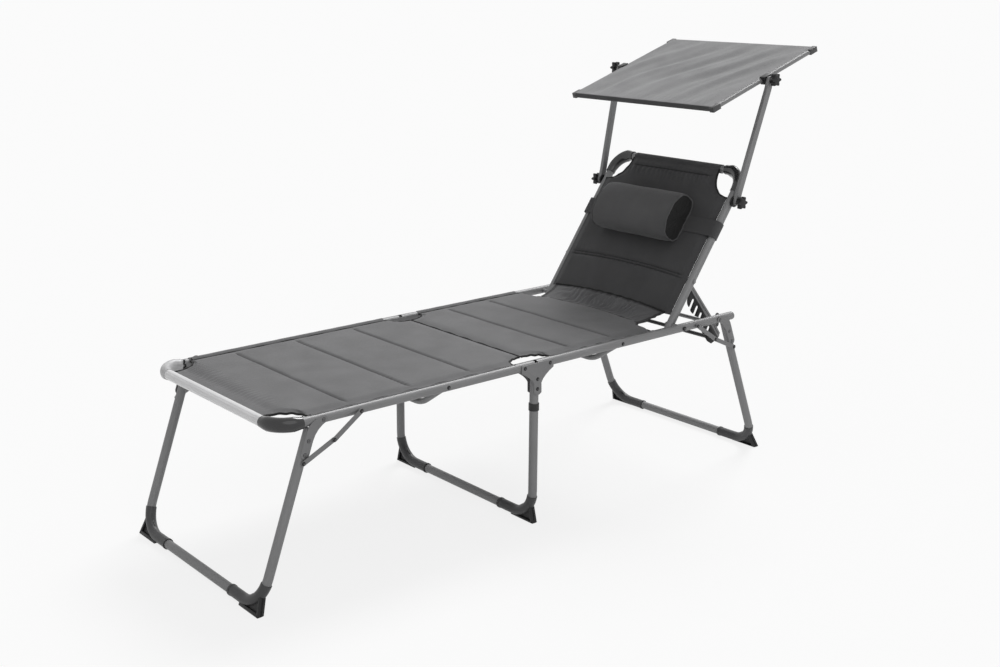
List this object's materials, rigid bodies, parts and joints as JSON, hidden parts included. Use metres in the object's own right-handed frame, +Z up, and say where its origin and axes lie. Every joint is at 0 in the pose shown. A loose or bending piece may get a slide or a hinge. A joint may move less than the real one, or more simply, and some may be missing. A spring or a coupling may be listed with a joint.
{
  "type": "folding sun lounger with canopy",
  "caption": "Folding tubular steel sun lounger with padded seat, reclining backrest, bolster pillow, swinging sun canopy and fold-away legs.",
  "frame": {"origin": "on the ground below the middle of the whole lounger", "axes": "+X towards the head end, +Y towards the right hand of a person who lies on it, +Z up"},
  "size_m": [2.0656, 0.7026, 1.2604],
  "materials": {
    "frame_steel": "satin silver-grey",
    "plate_steel": "satin silver-grey",
    "foot_plastic": "satin dark grey moulding",
    "black_plastic": "black moulding",
    "canopy_bar": "dark tube with moulded corner caps",
    "seat_fabric": "anthracite padded textile",
    "back_fabric": "anthracite padded textile",
    "canopy_fabric": "grey canopy textile"
  },
  "bodies": {
    "mid_leg": {"mid_leg_tube": "frame_steel", "mid_leg_foot_left": "foot_plastic", "mid_leg_foot_right": "foot_plastic", "mid_leg_collar_left": "black_plastic", "mid_leg_collar_right": "black_plastic", "fold_bracket_left": "plate_steel", "fold_bracket_right": "plate_steel"},
    "foot_section": {"foot_frame_tube": "frame_steel", "foot_spreader": "frame_steel", "foot_pad": "seat_fabric"},
    "head_section": {"head_rail_left": "frame_steel", "head_rail_right": "frame_steel", "rail_cap_left": "foot_plastic", "rail_cap_right": "foot_plastic", "backrest_pivot_left": "plate_steel", "backrest_pivot_right": "plate_steel", "seat_spreader": "frame_steel", "stay_rest_bar": "frame_steel", "seat_pad": "seat_fabric"},
    "backrest": {"backrest_tube": "frame_steel", "backrest_pad": "back_fabric", "canopy_clamp_left": "black_plastic", "canopy_clamp_right": "black_plastic"},
    "support_stay": {"support_stay": "plate_steel"},
    "headrest": {"pillow": "back_fabric", "pillow_strap": "back_fabric"},
    "canopy_arms": {"canopy_arm_left": "frame_steel", "canopy_arm_right": "frame_steel"},
    "canopy": {"canopy_side_tube_left": "frame_steel", "canopy_side_tube_right": "frame_steel", "canopy_front_bar": "canopy_bar", "canopy_back_bar": "canopy_bar", "canopy_fabric": "canopy_fabric", "canopy_pivot_left": "black_plastic", "canopy_pivot_right": "black_plastic"},
    "front_leg": {"front_leg_tube": "frame_steel", "front_leg_foot_left": "foot_plastic", "front_leg_foot_right": "foot_plastic", "front_leg_bracket_left": "plate_steel", "front_leg_bracket_right": "plate_steel"},
    "front_brace_upper": {"front_leg_brace_upper_left": "plate_steel", "front_leg_brace_upper_right": "plate_steel"},
    "front_brace_lower": {"front_leg_brace_lower_left": "plate_steel", "front_leg_brace_lower_right": "plate_steel"},
    "rear_leg": {"rear_leg_tube": "frame_steel", "rear_leg_foot_left": "foot_plastic", "rear_leg_foot_right": "foot_plastic", "rear_leg_bracket_left": "plate_steel", "rear_leg_bracket_right": "plate_steel"},
    "rear_brace_upper": {"rear_leg_brace_upper_left": "plate_steel", "rear_leg_brace_upper_right": "plate_steel"},
    "rear_brace_lower": {"rear_leg_brace_lower_left": "plate_steel", "rear_leg_brace_lower_right": "plate_steel"},
    "arm_knob_left": {"arm_knob_left": "black_plastic"},
    "canopy_knob_left": {"canopy_knob_left": "black_plastic"},
    "arm_knob_right": {"arm_knob_right": "black_plastic"},
    "canopy_knob_right": {"canopy_knob_right": "black_plastic"}
  },
  "joints": [
    {"name": "foot_fold", "type": "hinge", "parent": "mid_leg", "child": "foot_section", "pos_m": [-0.1853, 0, 0.462], "axis": [0, 1, 0], "range_deg": [0, 80]},
    {"name": "head_fold", "type": "hinge", "parent": "mid_leg", "child": "head_section", "pos_m": [-0.0953, 0, 0.462], "axis": [0, -1, 0], "range_deg": [0, 80]},
    {"name": "front_leg_fold", "type": "hinge", "parent": "foot_section", "child": "front_leg", "pos_m": [-0.822, 0, 0.462], "axis": [0, -1, 0], "range_deg": [0, 110]},
    {"name": "rear_leg_fold", "type": "hinge", "parent": "head_section", "child": "rear_leg", "pos_m": [0.595, 0, 0.462], "axis": [0, 1, 0], "range_deg": [0, 110]},
    {"name": "front_brace_rail_pin", "type": "hinge", "parent": "foot_section", "child": "front_brace_upper", "pos_m": [-0.717, 0, 0.462], "axis": [0, 1, 0], "range_deg": [0, 6.5]},
    {"name": "front_brace_leg_pin", "type": "hinge", "parent": "front_leg", "child": "front_brace_lower", "pos_m": [-0.8864, 0, 0.36458], "axis": [0, -1, 0], "range_deg": [0, 56.6]},
    {"name": "rear_brace_rail_pin", "type": "hinge", "parent": "head_section", "child": "rear_brace_upper", "pos_m": [0.49, 0, 0.462], "axis": [0, -1, 0], "range_deg": [0, 6.5]},
    {"name": "rear_brace_leg_pin", "type": "hinge", "parent": "rear_leg", "child": "rear_brace_lower", "pos_m": [0.65939, 0, 0.36458], "axis": [0, 1, 0], "range_deg": [0, 56.6]},
    {"name": "backrest_recline", "type": "hinge", "parent": "head_section", "child": "backrest", "pos_m": [0.4377, 0, 0.462], "axis": [0, 1, 0], "range_deg": [0, 54.2]},
    {"name": "stay_swing", "type": "hinge", "parent": "backrest", "child": "support_stay", "pos_m": [0.52544, 0, 0.58366], "axis": [0, -1, 0], "range_deg": [0, 95.5]},
    {"name": "headrest_slide", "type": "slide", "parent": "backrest", "child": "headrest", "axis": [0.585, 0, 0.8111], "range_m": [-0.1, 0.055]},
    {"name": "canopy_arm_swing", "type": "hinge", "parent": "backrest", "child": "canopy_arms", "pos_m": [0.68865, 0, 0.80995], "axis": [0, -1, 0], "range_deg": [-20, 115]},
    {"name": "canopy_tilt", "type": "hinge", "parent": "canopy_arms", "child": "canopy", "pos_m": [0.7922, 0, 1.17348], "axis": [0, 1, 0], "range_deg": [-50, 70]},
    {"name": "arm_knob_left_turn", "type": "hinge", "parent": "backrest", "child": "arm_knob_left", "pos_m": [0.68865, 0, 0.80995], "axis": [0, -1, 0], "range_deg": [0, 180]},
    {"name": "canopy_knob_left_turn", "type": "hinge", "parent": "canopy", "child": "canopy_knob_left", "pos_m": [0.7922, 0, 1.17348], "axis": [0, -1, 0], "range_deg": [0, 180]},
    {"name": "arm_knob_right_turn", "type": "hinge", "parent": "backrest", "child": "arm_knob_right", "pos_m": [0.68865, 0, 0.80995], "axis": [0, 1, 0], "range_deg": [0, 180]},
    {"name": "canopy_knob_right_turn", "type": "hinge", "parent": "canopy", "child": "canopy_knob_right", "pos_m": [0.7922, 0, 1.17348], "axis": [0, 1, 0], "range_deg": [0, 180]}
  ],
  "couplings": [
    {"joint": "front_brace_rail_pin", "follows": "front_leg_fold", "ratio": 0.058526},
    {"joint": "front_brace_leg_pin", "follows": "front_leg_fold", "ratio": 0.51174},
    {"joint": "rear_brace_rail_pin", "follows": "rear_leg_fold", "ratio": 0.058526},
    {"joint": "rear_brace_leg_pin", "follows": "rear_leg_fold", "ratio": 0.51174},
    {"joint": "stay_swing", "follows": "backrest_recline", "ratio": 1.76}
  ]
}
